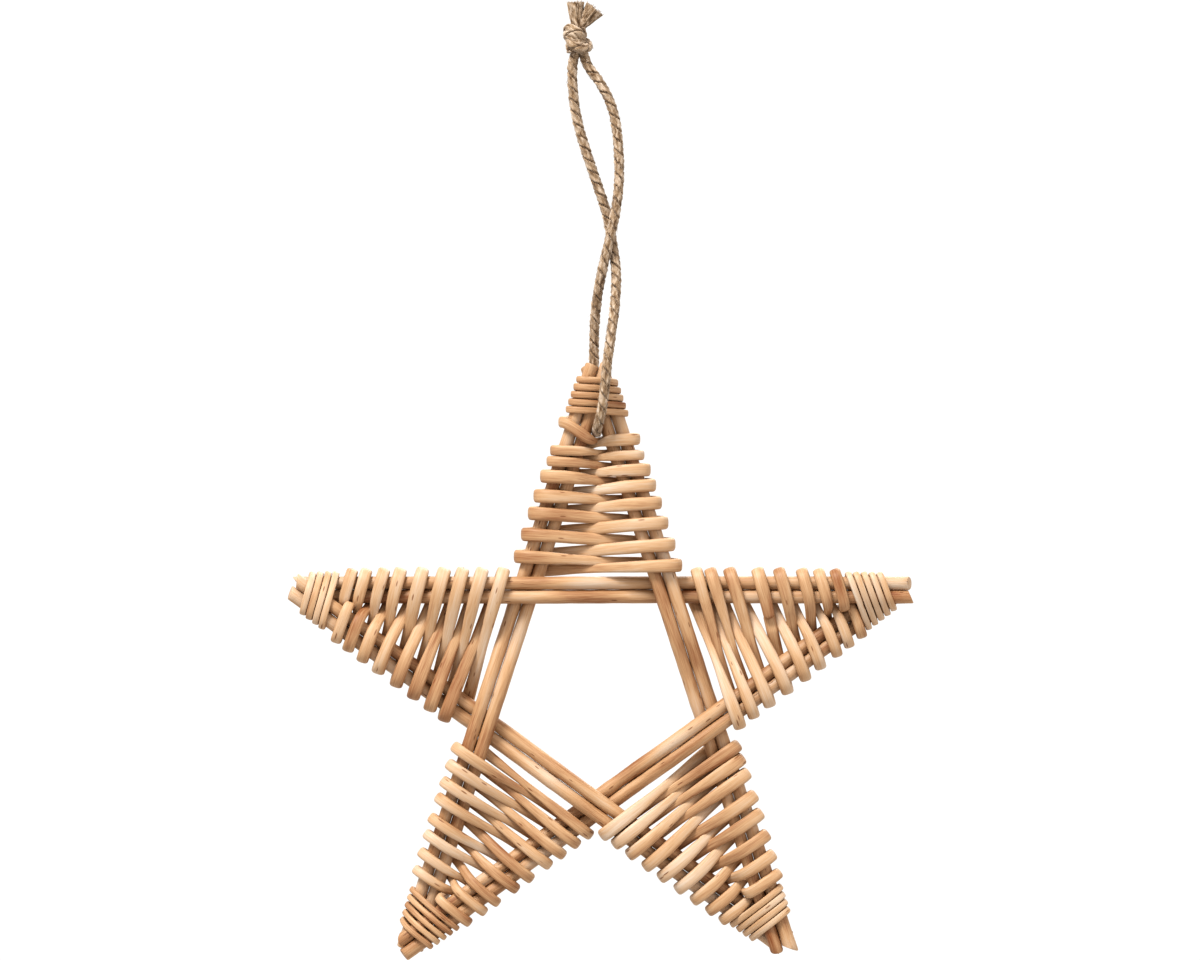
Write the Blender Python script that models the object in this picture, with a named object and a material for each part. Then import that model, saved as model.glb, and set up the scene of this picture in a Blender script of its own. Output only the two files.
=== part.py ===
"""A willow star ornament on a twine loop.

Five lines of paired peeled willow rods cross as a five-pointed star, over and under in turn.
In each arm one flattened willow weaver is wound round the crossed tips, then laced in figure
eights round the arm's two pairs of rods. A twine loop goes through the top arm and ends in a knot.

X runs to the right, -Y is the front and Z is up. The origin is where a nail holds the loop,
just under the knot. Every size is in metres.
"""

import math
import random

import bmesh
import bpy
import numpy as np
from mathutils import Matrix, Vector

# Star frame
LINE_LENGTH = 0.2393  # one line of the star, from tip crossing to tip crossing
ROD_DIAMETER = 0.0051
PAIR_GAP = 0.0006  # between the two rods of a line
CROSSING_GAP = 0.0005  # between the layers where two lines cross
FRONT_END = 0.0062  # how far the rods run past the tip crossing where they lie in front
BACK_END = 0.0030  # the same where they lie behind
END_SPREAD = 0.0016  # how unevenly the rods are cut
ROD_TAPER = 0.06  # share of its thickness that a rod loses from butt to tip
ROD_POINTS = 11

# Weavers
WEAVER_WIDTH = 0.0051
WEAVER_THICKNESS = 0.0030
WEAVER_GAP = 0.0004  # from a rod's surface to the weaver round it
STRAND_GAP = 0.0004  # between two runs of one weaver
ROOM_SHARE = 0.95  # how much of the room between two runs a run may fill where they cross
WRAP_WIDTH = 0.0026  # the weaver's thin end, wound round the tips
SLIM_SHARE = 0.74  # width of the first figure eights, as a share of the full width
FULL_WIDTH_AT = 0.045  # from the tip crossing to where the weaver has its full width
LAST_STEP = 0.0026  # how far the last run goes down the arm as it crosses over
NEAR_SHARE = 0.15  # where a run leaves the front of its own pair, as a share of its step
FAR_SHARE = 0.85  # where it goes behind the other pair

# Each arm: its angle clockwise from the top, the side of its first loop (-1 is
# anticlockwise), its tip wraps, and the place of the first wrap
ARMS = {
    "top": (0, -1, 5, 0.0024),
    "right": (72, 1, 5, 0.0022),
    "lower_right": (144, 1, 4, 0.0070),
    "lower_left": (216, -1, 5, 0.0026),
    "left": (288, 1, 4, 0.0030),
}

# The places of each arm's loops, on one side and the other in turn, as shares of the way
# from the end of the tip wraps to the arm's base
LOOP_SHARES = {
    "top": [
        0.030, 0.127, 0.193, 0.220, 0.255, 0.305, 0.342, 0.394, 0.456,
        0.496, 0.557, 0.611, 0.679, 0.736, 0.807, 0.856,
    ],
    "right": [
        0.010, 0.047, 0.096, 0.136, 0.179, 0.228, 0.293, 0.351, 0.396,
        0.468, 0.519, 0.622, 0.640, 0.727, 0.747, 0.803, 0.842,
    ],
    "lower_right": [
        0.012, 0.049, 0.103, 0.158, 0.208, 0.274, 0.318, 0.397, 0.434,
        0.502, 0.540, 0.633, 0.654, 0.721, 0.755, 0.799, 0.841,
    ],
    "lower_left": [
        0.023, 0.085, 0.125, 0.186, 0.212, 0.290, 0.339, 0.384, 0.437,
        0.503, 0.561, 0.597, 0.655, 0.698, 0.753, 0.798, 0.841,
    ],
    "left": [
        0.042, 0.078, 0.117, 0.156, 0.211, 0.250, 0.299, 0.353, 0.416,
        0.471, 0.532, 0.583, 0.631, 0.692, 0.734, 0.785, 0.847,
    ],
}

# Twine
TWINE_DIAMETER = 0.0038
TWINE_GAP = 0.0004
TWINE_ROOM = 0.0010  # half a run's width where it passes under the twine
TWINE_DROP = 0.12605  # from the nail down to the top tip crossing
TWINE_ASIDE = 0.0066  # from the nail sideways to the star's middle
TWINE_HOLE = 0.0236  # from the top tip crossing to where the twine goes through the arm
KNOT_WIDTH = 0.0112
KNOT_HEIGHT = 0.0126
KNOT_CENTRE = (-0.0016, 0.0, 0.0080)
CUT_END_LENGTH = 0.0105

# The twine's route from the knot down the front, through the arm and up behind it
TWINE_ROUTE = [
    (-0.0026, 0.0000, 0.0006),
    (-0.0032, 0.0002, -0.0040),
    (-0.0028, 0.0006, -0.0129),
    (-0.0012, 0.0012, -0.0240),
    (0.0024, 0.0018, -0.0365),
    (0.0064, 0.0023, -0.0485),
    (0.0102, 0.0024, -0.0600),
    (0.0127, 0.0021, -0.0720),
    (0.0144, 0.0000, -0.0850),
    (0.0140, -0.0040, -0.0980),
    (0.0124, -0.0080, -0.1105),
    (0.0108, -0.0103, -0.1225),
    (0.0098, -0.0107, -0.1330),
    (0.0086, -0.0102, -0.1415),
    (0.0074, -0.0083, -0.1460),
    (0.0067, -0.0048, -0.1488),
    (0.0066, 0.0000, -0.1496),
    (0.0066, 0.0048, -0.1488),
    (0.0065, 0.0083, -0.1460),
    (0.0063, 0.0102, -0.1415),
    (0.0060, 0.0107, -0.1330),
    (0.0056, 0.0103, -0.1225),
    (0.0057, 0.0078, -0.1105),
    (0.0065, 0.0040, -0.0985),
    (0.0086, -0.0002, -0.0860),
    (0.0116, -0.0021, -0.0730),
    (0.0142, -0.0024, -0.0610),
    (0.0156, -0.0020, -0.0490),
    (0.0154, -0.0014, -0.0360),
    (0.0140, -0.0010, -0.0240),
    (0.0112, -0.0006, -0.0150),
    (0.0072, -0.0002, -0.0080),
    (0.0036, 0.0000, -0.0030),
    (0.0018, 0.0000, 0.0010),
]

# Angles of a five-pointed star, and what follows from the sizes above
HALF_TIP = math.radians(18)
NOTCH = math.radians(36)
STEEP = math.radians(72)
LINE_HALF = LINE_LENGTH / 2
LINE_FROM_CENTRE = LINE_HALF / math.tan(STEEP)
INNER_CROSSING = LINE_FROM_CENTRE * math.tan(NOTCH)
TIP_FROM_CENTRE = LINE_HALF / math.sin(STEEP)
ARM_LENGTH = (LINE_HALF - INNER_CROSSING) * math.cos(HALF_TIP)
CENTRE = Vector((TWINE_ASIDE, 0, -TWINE_DROP - TIP_FROM_CENTRE))
ROD_RADIUS = ROD_DIAMETER / 2
ROD_PITCH = ROD_DIAMETER + PAIR_GAP
PAIR_HALF = (ROD_PITCH + ROD_DIAMETER) / 2
LAYER = (ROD_DIAMETER + CROSSING_GAP) / 2
WRAP_SHARE = WRAP_WIDTH / WEAVER_WIDTH
WRAP_PITCH = WRAP_WIDTH + STRAND_GAP

WILLOW = (0.70, 0.45, 0.24, 1)
WILLOW_DARK = (0.60, 0.36, 0.18, 1)
JUTE = (0.42, 0.30, 0.16, 1)


def clear_scene():
    for obj in list(bpy.data.objects):
        bpy.data.objects.remove(obj)


def new_collection(name):
    collection = bpy.data.collections.new(name)
    bpy.context.scene.collection.children.link(collection)
    return collection


def matte(name, colour, roughness):
    material = bpy.data.materials.new(name)
    material.use_nodes = True
    shader = material.node_tree.nodes["Principled BSDF"]
    shader.inputs["Base Color"].default_value = colour
    shader.inputs["Roughness"].default_value = roughness
    shader.inputs["Metallic"].default_value = 0
    return material


def tube(name, points, radii, thickness, resolution, collection, material):
    """A curve object along points, as thick as thickness where its radius is 1."""
    curve = bpy.data.curves.new(name, "CURVE")
    curve.dimensions = "3D"
    curve.bevel_depth = thickness / 2
    curve.bevel_resolution = resolution
    curve.use_fill_caps = True
    spline = curve.splines.new("POLY")
    spline.points.add(len(points) - 1)
    for place, point, radius in zip(spline.points, points, radii):
        place.co = (*point, 1)
        place.radius = radius
    spline.use_smooth = True
    curve.materials.append(material)
    obj = bpy.data.objects.new(name, curve)
    collection.objects.link(obj)
    return obj


def layer_depth(u):
    """Depth of a line's rods at u from its middle: behind at +, in front at -, in turn."""
    along = abs(u)
    crossing_end = INNER_CROSSING + PAIR_HALF / math.tan(NOTCH)
    tip_start = LINE_HALF - PAIR_HALF / math.tan(HALF_TIP)
    if along < INNER_CROSSING:
        swing = math.sin(math.pi / 2 * along / INNER_CROSSING)
        lift = (3 * swing - swing**3) / 2
    elif along < crossing_end:
        lift = 1
    elif along < tip_start:
        share = (along - crossing_end) / (tip_start - crossing_end)
        lift = 1 - 2 * share * share * (3 - 2 * share)
    else:
        lift = -1
    return LAYER * (lift if u > 0 else -lift)


def star_rods(collection, material):
    """Two rods for each of the five lines."""
    cut = random.Random(5)
    for line in range(5):
        for side, place in ((1, "outer"), (-1, "inner")):
            start = -LINE_HALF - BACK_END + cut.uniform(-1, 1) * END_SPREAD
            end = LINE_HALF + FRONT_END + cut.uniform(-1, 1) * END_SPREAD
            height = LINE_FROM_CENTRE + side * ROD_PITCH / 2
            spots = np.linspace(start, end, ROD_POINTS)
            points = [(u, layer_depth(u), height) for u in spots]
            radii = 1 - ROD_TAPER * (0.5 - side * (spots / LINE_LENGTH))
            name = f"rod_{line + 1}_{place}"
            rod = tube(name, points, radii, ROD_DIAMETER, 2, collection, material)
            rod.matrix_world = Matrix.Translation(CENTRE) @ Matrix.Rotation(
                math.tau / 5 * line, 4, "Y"
            )


def pair_at(t, side):
    """Middle of an arm's pair of rods at t from the tip crossing: across it, and in depth."""
    depth = -side * layer_depth(LINE_HALF - t / math.cos(HALF_TIP))
    return side * t * math.sin(HALF_TIP), depth


def reach(share):
    """From a rod's middle to the middle of a weaver that has share of its full size."""
    return ROD_RADIUS + WEAVER_GAP + share * WEAVER_THICKNESS / 2


def loop_corners(t, side, share, spread):
    """Three corners round the outer rod of a pair, from behind it to its front."""
    corners = []
    for turn in (1, 0, -1):
        place = t - turn * spread
        across, depth = pair_at(place, side)
        angle = turn * math.pi / 3
        radius = reach(share) / math.cos(math.pi / 6)
        across += side * (ROD_PITCH / 2 + radius * math.cos(angle))
        corners.append((place, across, depth + radius * math.sin(angle), share))
    return corners


def crossing_corners(t_near, t_far, side, share, slim):
    """The corners in front of the near pair, half way across, and behind the far pair."""
    radius = reach(share)
    near, near_depth = pair_at(t_near, side)
    far, far_depth = pair_at(t_far, -side)
    near -= side * ROD_PITCH / 2
    far += side * ROD_PITCH / 2
    gap = side * (near - far)
    apart = math.hypot(gap, far_depth - near_depth)
    dive = math.atan2(far_depth - near_depth, gap) + math.asin(min(1, 2 * radius / apart))
    shift = side * radius * math.tan(dive / 2)
    first = (t_near, near - shift, near_depth - radius, share)
    last = (t_far, far + shift, far_depth + radius, share)
    middle = [(a + b) / 2 for a, b in zip(first, last)]
    return [first, (*middle[:3], slim), last]


def wrap_corners(t, side):
    """One turn round both pairs, which lie one behind the other at the tip.

    It starts on the given side, crosses the front, and comes back behind.
    """
    radius = reach(WRAP_SHARE)

    def outer(place, at, turn):
        """One of two corners round the outer rod of a pair, at turn from the other pair."""
        across, depth = pair_at(place, at)
        across += at * ROD_PITCH / 2
        slope = math.atan2(2 * abs(depth), 2 * place * math.sin(HALF_TIP))
        step = (math.pi - slope) / 2
        normal = slope - math.pi / 2 + step * turn
        out = radius / math.cos(step / 2)
        return (
            place,
            across + at * out * math.cos(normal),
            depth + at * out * math.sin(normal),
            WRAP_SHARE,
        )

    def inner(place, at):
        across, depth = pair_at(place, at)
        across -= at * ROD_PITCH / 2
        slope = math.atan2(2 * abs(depth), 2 * place * math.sin(HALF_TIP))
        shift = radius * math.tan(slope / 2)
        return (place, across - at * shift, depth + at * radius, WRAP_SHARE)

    p = WRAP_PITCH
    if side < 0:
        return [
            outer(t - 0.05 * p, -1, 0.5),
            outer(t + 0.05 * p, -1, 1.5),
            inner(t + 0.20 * p, -1),
            outer(t + 0.45 * p, 1, 0.5),
            outer(t + 0.55 * p, 1, 1.5),
            inner(t + 0.70 * p, 1),
        ]
    return [
        outer(t - 0.05 * p, 1, 1.5),
        outer(t + 0.05 * p, 1, 0.5),
        inner(t + 0.30 * p, -1),
        outer(t + 0.45 * p, -1, 1.5),
        outer(t + 0.55 * p, -1, 0.5),
        inner(t + 0.80 * p, 1),
    ]


def weaver_path(arm):
    """Corners (t, across, depth, share of full size) of one arm's weaver, tip to base."""
    _, first_side, wraps, first_wrap = ARMS[arm]
    clear_to = 0.0
    if arm == "top":
        clear_to = TWINE_HOLE + TWINE_DIAMETER / 2 + TWINE_GAP + TWINE_ROOM
    corners = []
    for turn in range(wraps):
        corners += wrap_corners(first_wrap + turn * WRAP_PITCH, first_side)
    wrapped = first_wrap + wraps * WRAP_PITCH
    places = [wrapped + share * (ARM_LENGTH - wrapped) for share in LOOP_SHARES[arm]]
    places.append(places[-1] + LAST_STEP)
    beside = [b - a - STRAND_GAP for a, b in zip(places[:-1], places[2:-1])]
    nears = [max(a + NEAR_SHARE * (b - a), clear_to) for a, b in zip(places, places[1:])]
    fars = [max(a + FAR_SHARE * (b - a), clear_to) for a, b in zip(places, places[1:])]
    middles = [(near + far) / 2 for near, far in zip(nears, fars)]
    for i, (place, near, far) in enumerate(zip(places, nears, fars)):
        side = first_side * (-1) ** i
        full = SLIM_SHARE + (1 - SLIM_SHARE) * min(1, place / FULL_WIDTH_AT)
        full = min(full, *(width / WEAVER_WIDTH for width in beside[max(0, i - 2) : i + 1]))
        neighbours = middles[max(0, i - 1) : i + 2]
        room = min(b - a for a, b in zip(neighbours, neighbours[1:]))
        slim = min(full, (room * ROOM_SHARE - STRAND_GAP) / WEAVER_WIDTH)
        corners += loop_corners(place, side, full, 0.04 * (places[i + 1] - place))
        corners += crossing_corners(near, far, side, full, slim)
    across, depth = pair_at(far, -side)
    corners.append((far, across - side * ROD_PITCH / 2, depth + reach(full), full))
    return corners


def weavers(collection, material):
    """One weaver an arm. The tube is round where it is built, and stretched to its width."""
    flatness = WEAVER_WIDTH / WEAVER_THICKNESS
    for arm, (angle, *_) in ARMS.items():
        corners = weaver_path(arm)
        points = [
            (across / math.cos(HALF_TIP), depth, -t / flatness)
            for t, across, depth, _ in corners
        ]
        radii = [share for *_, share in corners]
        name = f"weaver_{arm}"
        weaver = tube(name, points, radii, WEAVER_THICKNESS, 1, collection, material)
        turn = Matrix.Rotation(math.radians(angle), 4, "Y")
        tip = CENTRE + turn @ Vector((0, 0, TIP_FROM_CENTRE))
        stretch = Matrix.Diagonal((1, 1, flatness, 1))
        weaver.matrix_world = Matrix.Translation(tip) @ turn @ stretch


def twine_loop(collection, material):
    ones = [1] * len(TWINE_ROUTE)
    tube("twine_loop", TWINE_ROUTE, ones, TWINE_DIAMETER, 2, collection, material)


def mesh_object(name, collection, material, build):
    """A mesh object whose shape build makes in a bmesh."""
    mesh = bpy.data.meshes.new(name)
    shape = bmesh.new()
    build(shape)
    shape.to_mesh(mesh)
    shape.free()
    mesh.materials.append(material)
    mesh.shade_smooth()
    obj = bpy.data.objects.new(name, mesh)
    collection.objects.link(obj)
    return obj


def twine_knot(collection, helpers, material):
    """The knot: a ball, one turn of twine drawn slantwise round it, and two fanned cut ends."""
    centre = Vector(KNOT_CENTRE)

    def ball(shape):
        size = Matrix.Diagonal((KNOT_WIDTH / 2, KNOT_WIDTH / 2, KNOT_HEIGHT / 2, 1))
        bmesh.ops.create_uvsphere(
            shape, u_segments=12, v_segments=8, radius=1, matrix=Matrix.Translation(centre) @ size
        )

    knot = mesh_object("twine_knot", collection, material, ball)
    bpy.ops.mesh.primitive_torus_add(
        major_segments=14,
        minor_segments=8,
        major_radius=KNOT_WIDTH / 2 - TWINE_DIAMETER * 0.3,
        minor_radius=TWINE_DIAMETER / 2,
        location=centre,
        rotation=(math.radians(8), math.radians(-38), 0),
    )
    ring = bpy.context.object
    ring.name = "knot_turn"
    for collected in list(ring.users_collection):
        collected.objects.unlink(ring)
    helpers.objects.link(ring)

    def cut_end(lean):
        def build(shape):
            neck = centre + Vector((0, 0, KNOT_HEIGHT * 0.38))
            turn = Matrix.Rotation(lean, 4, "Y")
            middle = turn @ Vector((0, 0, CUT_END_LENGTH / 2))
            bmesh.ops.create_cone(
                shape,
                cap_ends=True,
                segments=10,
                radius1=TWINE_DIAMETER * 0.42,
                radius2=TWINE_DIAMETER * 0.72,
                depth=CUT_END_LENGTH,
                matrix=Matrix.Translation(neck + middle) @ turn,
            )

        return build

    left = mesh_object("cut_end_left", helpers, material, cut_end(math.radians(-4)))
    right = mesh_object("cut_end_right", helpers, material, cut_end(math.radians(42)))
    for part in (ring, left, right):
        part.hide_render = True
        part.display_type = "WIRE"
        join = knot.modifiers.new(part.name, "BOOLEAN")
        join.operation = "UNION"
        join.object = part


clear_scene()
ornament = new_collection("willow_star_ornament")
knot_parts = new_collection("knot_parts")
willow = matte("peeled willow rod", WILLOW, 0.55)
willow_weaver = matte("flattened willow weaver", WILLOW_DARK, 0.5)
jute = matte("jute twine", JUTE, 0.95)
star_rods(ornament, willow)
weavers(ornament, willow_weaver)
twine_loop(ornament, jute)
twine_knot(ornament, knot_parts, jute)
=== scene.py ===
"""A willow star ornament on a twine loop, as it hangs. Every size is in metres."""

import math
import random

import bmesh
import bpy
import numpy as np
from mathutils import Matrix, Vector


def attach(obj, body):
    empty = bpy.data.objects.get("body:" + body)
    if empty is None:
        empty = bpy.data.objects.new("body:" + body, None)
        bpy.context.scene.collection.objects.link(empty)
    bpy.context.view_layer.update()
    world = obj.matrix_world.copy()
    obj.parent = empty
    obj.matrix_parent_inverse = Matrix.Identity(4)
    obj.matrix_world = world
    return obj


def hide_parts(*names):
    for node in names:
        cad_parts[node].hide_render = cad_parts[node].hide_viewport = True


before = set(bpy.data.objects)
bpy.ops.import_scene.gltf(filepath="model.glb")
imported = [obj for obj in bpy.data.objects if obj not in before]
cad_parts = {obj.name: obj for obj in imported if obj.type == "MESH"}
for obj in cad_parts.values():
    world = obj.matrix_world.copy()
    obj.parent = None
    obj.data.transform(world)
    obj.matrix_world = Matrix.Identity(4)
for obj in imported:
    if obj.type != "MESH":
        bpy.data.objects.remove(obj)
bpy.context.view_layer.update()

# Camera, floor and light
# The star hangs upright and is seen square on through a long lens, over a pale floor that
# curves up into a wall all round, in soft light from above, beside and behind.
VIEW_WIDTH = 0.4824
VIEW_MIDDLE = Vector((0.0080, 0, -0.1688))
LENS = 150  # millimetres, as the sensor is
SENSOR = 36
FLOOR_HEIGHT = -1.6
COVE_RADIUS = 4.6
COVE_BEND = 1.6
COVE_BEND_STEPS = 12
COVE_TOP = 4.0
COVE_SIDES = 96
COVE_GLOW = 0.74
SKY_GLOW = 0.70
WELD = 0.0001  # corners of the floor nearer than this are one

camera = bpy.data.objects.new("camera", bpy.data.cameras.new("camera"))
camera.data.lens = LENS
camera.data.sensor_width = SENSOR
camera.location = VIEW_MIDDLE - Vector((0, VIEW_WIDTH * LENS / SENSOR, 0))
camera.rotation_euler = (math.pi / 2, 0, 0)
bpy.context.scene.collection.objects.link(camera)
bpy.context.scene.camera = camera
bpy.context.scene.view_settings.view_transform = "Standard"
bpy.context.scene.view_settings.look = "High Contrast"


def cove():
    """The floor and the wall round it, turned from one line."""
    line = [(0.0, 0.0)]
    for step in range(COVE_BEND_STEPS + 1):
        turn = math.pi / 2 * step / COVE_BEND_STEPS
        out = COVE_RADIUS - COVE_BEND + COVE_BEND * math.sin(turn)
        line.append((out, COVE_BEND * (1 - math.cos(turn))))
    line.append((COVE_RADIUS, COVE_TOP - FLOOR_HEIGHT))
    shape = bmesh.new()
    spots = [shape.verts.new((x, 0, FLOOR_HEIGHT + z)) for x, z in line]
    edges = [shape.edges.new(pair) for pair in zip(spots, spots[1:])]
    bmesh.ops.spin(
        shape, geom=spots + edges, cent=(0, 0, 0), axis=(0, 0, 1), angle=math.tau, steps=COVE_SIDES
    )
    bmesh.ops.remove_doubles(shape, verts=shape.verts, dist=WELD)
    bmesh.ops.recalc_face_normals(shape, faces=shape.faces)
    mesh = bpy.data.meshes.new("pale_floor")
    shape.to_mesh(mesh)
    shape.free()
    mesh.shade_smooth()
    return mesh


paint = bpy.data.materials.new("pale lit floor")
paint.use_nodes = True
glow = paint.node_tree.nodes.new("ShaderNodeEmission")
glow.inputs["Color"].default_value = (1, 1, 1, 1)
glow.inputs["Strength"].default_value = COVE_GLOW
paint.node_tree.links.new(
    glow.outputs["Emission"], paint.node_tree.nodes["Material Output"].inputs["Surface"]
)
floor = bpy.data.objects.new("pale_floor", cove())
floor.data.materials.append(paint)
bpy.context.scene.collection.objects.link(floor)

sky = bpy.data.worlds.new("soft light")
sky.use_nodes = True
sky.node_tree.nodes["Background"].inputs["Color"].default_value = (1, 1, 1, 1)
sky.node_tree.nodes["Background"].inputs["Strength"].default_value = SKY_GLOW
bpy.context.scene.world = sky

# Where each lamp stands, the width of its panel, and its power in watts
LAMPS = {
    "key": ((-1.0, -1.5, 2.2), 0.9, 92),
    "fill": ((2.0, -1.6, 0.2), 1.6, 9),
    "back": ((0.8, 2.2, 1.6), 1.6, 34),
}
for name, (place, size, power) in LAMPS.items():
    lamp = bpy.data.objects.new(name, bpy.data.lights.new(name, "AREA"))
    lamp.data.size = size
    lamp.data.energy = power
    lamp.location = place
    lamp.rotation_euler = (VIEW_MIDDLE - Vector(place)).to_track_quat("-Z", "Y").to_euler()
    lamp.visible_camera = False
    bpy.context.scene.collection.objects.link(lamp)

# Hanging twine
# One length of jute twine, two plies twisted hard together, goes down the front of the top
# arm, through it under the tip wraps and up behind. Loose fibres stand out all along it.
TWINE_DIAMETER = 0.0038
TWINE_ROUTE = [
    (-0.0026, 0.0000, 0.0006),
    (-0.0032, 0.0002, -0.0040),
    (-0.0028, 0.0006, -0.0129),
    (-0.0012, 0.0012, -0.0240),
    (0.0024, 0.0018, -0.0365),
    (0.0064, 0.0023, -0.0485),
    (0.0102, 0.0024, -0.0600),
    (0.0127, 0.0021, -0.0720),
    (0.0144, 0.0000, -0.0850),
    (0.0140, -0.0040, -0.0980),
    (0.0124, -0.0080, -0.1105),
    (0.0108, -0.0103, -0.1225),
    (0.0098, -0.0107, -0.1330),
    (0.0086, -0.0102, -0.1415),
    (0.0074, -0.0083, -0.1460),
    (0.0067, -0.0048, -0.1488),
    (0.0066, 0.0000, -0.1496),
    (0.0066, 0.0048, -0.1488),
    (0.0065, 0.0083, -0.1460),
    (0.0063, 0.0102, -0.1415),
    (0.0060, 0.0107, -0.1330),
    (0.0056, 0.0103, -0.1225),
    (0.0057, 0.0078, -0.1105),
    (0.0065, 0.0040, -0.0985),
    (0.0086, -0.0002, -0.0860),
    (0.0116, -0.0021, -0.0730),
    (0.0142, -0.0024, -0.0610),
    (0.0156, -0.0020, -0.0490),
    (0.0154, -0.0014, -0.0360),
    (0.0140, -0.0010, -0.0240),
    (0.0112, -0.0006, -0.0150),
    (0.0072, -0.0002, -0.0080),
    (0.0036, 0.0000, -0.0030),
    (0.0018, 0.0000, 0.0010),
]
TWIST_PITCH = 0.0098  # one full turn of the two plies
PLY_WIDTH = 0.96  # a ply's section, squashed against its neighbour, as shares of the twine
PLY_THICKNESS = 0.57
PLY_SIDES = 14
BUMPS = 10  # so many waves laid over each other make a ply uneven
BUMP_LEAST = (900, 900, 150)  # radians a metre: twice across the twine, and along it
BUMP_MOST = (4200, 4200, 900)
BUMP_HEIGHT = 0.26
# Painted shade: a ply is darker where its surface sinks between its bumps, paler where they stand
# out
BUMP_PAINTED_SHADE = 1.9
CREST_PAINTED_SHADE = 0.25  # painted shade: a ply is paler on its crest than down in the groove between the two
CREST_FROM = 0.2
TWINE_STEP = 0.0005
ROUTE_STEP = 0.04  # from one route point to the next, as a share of the way
LOOSE_FIBRE = 0.00008
LAID_FIBRE = 0.00022
FIBRE_LENGTHS = (0.0015, 0.006)
FIBRE_ROOT = 0.86  # a fibre starts under the surface, at this share of the radius
LEAST_RISE = 0.2
FIBRE_SWEEP = 1.2  # how far a fibre goes round the twine, in radians
FIBRE_BENDS = 4
FIBRE_CURL = 1.5
FIBRE_TIP = 0.45  # thickness of its free end, as a share of the other's
BACKWARD = (0, 1, 0)
ASKEW = (0.31, 0.83, 0.46)  # along no fibre
CREASE = math.radians(50)  # a bend in a surface sharper than this is an edge


def along_curve(knots, spacing):
    """Points every spacing along a smooth curve through the knots."""
    knots = np.array(knots, float)
    ends = [2 * knots[0] - knots[1], 2 * knots[-1] - knots[-2]]
    knots = np.vstack([ends[0], knots, ends[1]])
    fine = []
    for a, b, c, d in zip(knots, knots[1:], knots[2:], knots[3:]):
        for x in np.arange(0, 1, ROUTE_STEP):
            bend = x**2 * (2 * a - 5 * b + 4 * c - d) + x**3 * (3 * (b - c) + d - a)
            fine.append(b + (x * (c - a) + bend) / 2)
    return evenly(np.array([*fine, knots[-2]]), spacing)


def evenly(line, spacing):
    """The same line with points every spacing along it."""
    run = np.concatenate([[0], np.cumsum(np.linalg.norm(np.diff(line, axis=0), axis=1))])
    spots = np.linspace(0, run[-1], max(2, round(run[-1] / spacing) + 1))
    return np.stack([np.interp(spots, run, column) for column in line.T], axis=1)


def unit(vectors):
    """The same directions, each with a length of one."""
    return vectors / np.linalg.norm(vectors, axis=-1, keepdims=True)


def carried_frame(line, across):
    """Two directions square to a line, carried along it without twisting."""
    forward = unit(np.gradient(line, axis=0))
    first = []
    way = np.array(across, float)
    for tangent in forward:
        way = unit(way - tangent * (way @ tangent))
        first.append(way)
    first = np.array(first)
    return forward, first, np.cross(forward, first)


def tube_mesh(rings):
    """Corners and faces of a tube with the given rings of points, capped at both ends."""
    count, sides, _ = rings.shape
    corners = list(rings.reshape(-1, 3))
    faces = []
    for ring in range(count - 1):
        for side in range(sides):
            a = ring * sides + side
            b = ring * sides + (side + 1) % sides
            faces.append((a, b, b + sides, a + sides))
    for ring, flip in ((0, -1), (count - 1, 1)):
        corners.append(rings[ring].mean(axis=0))
        base = ring * sides
        for side in range(sides):
            pair = (base + side, base + (side + 1) % sides)
            faces.append((*pair[::flip], len(corners) - 1))
    return corners, faces


def make_piece(name, parts, material):
    """One object from parts, each of corners, faces, grain and shade.

    Grain is each corner's place in the material as it grew or was spun, with its third number
    along the piece. Shade is from -1, dark, to 1, pale.
    """
    corners, faces, grain, shade = [], [], [], []
    for part in parts:
        start = len(corners)
        corners += [tuple(corner) for corner in part[0]]
        faces += [tuple(start + spot for spot in face) for face in part[1]]
        grain.append(np.array(part[2], float).reshape(-1, 3))
        shade.append(np.array(part[3], float).ravel())
    mesh = bpy.data.meshes.new(name)
    mesh.from_pydata(corners, [], faces)
    mesh.attributes.new("grain", "FLOAT_VECTOR", "POINT").data.foreach_set(
        "vector", np.concatenate(grain).astype(np.float32).ravel()
    )
    mesh.attributes.new("shade", "FLOAT", "POINT").data.foreach_set(
        "value", np.concatenate(shade).astype(np.float32)
    )
    mesh.shade_smooth()
    mesh.set_sharp_from_angle(angle=CREASE)
    mesh.materials.append(material)
    piece = bpy.data.objects.new(name, mesh)
    bpy.context.scene.collection.objects.link(piece)
    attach(piece, "root")
    return piece


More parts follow.
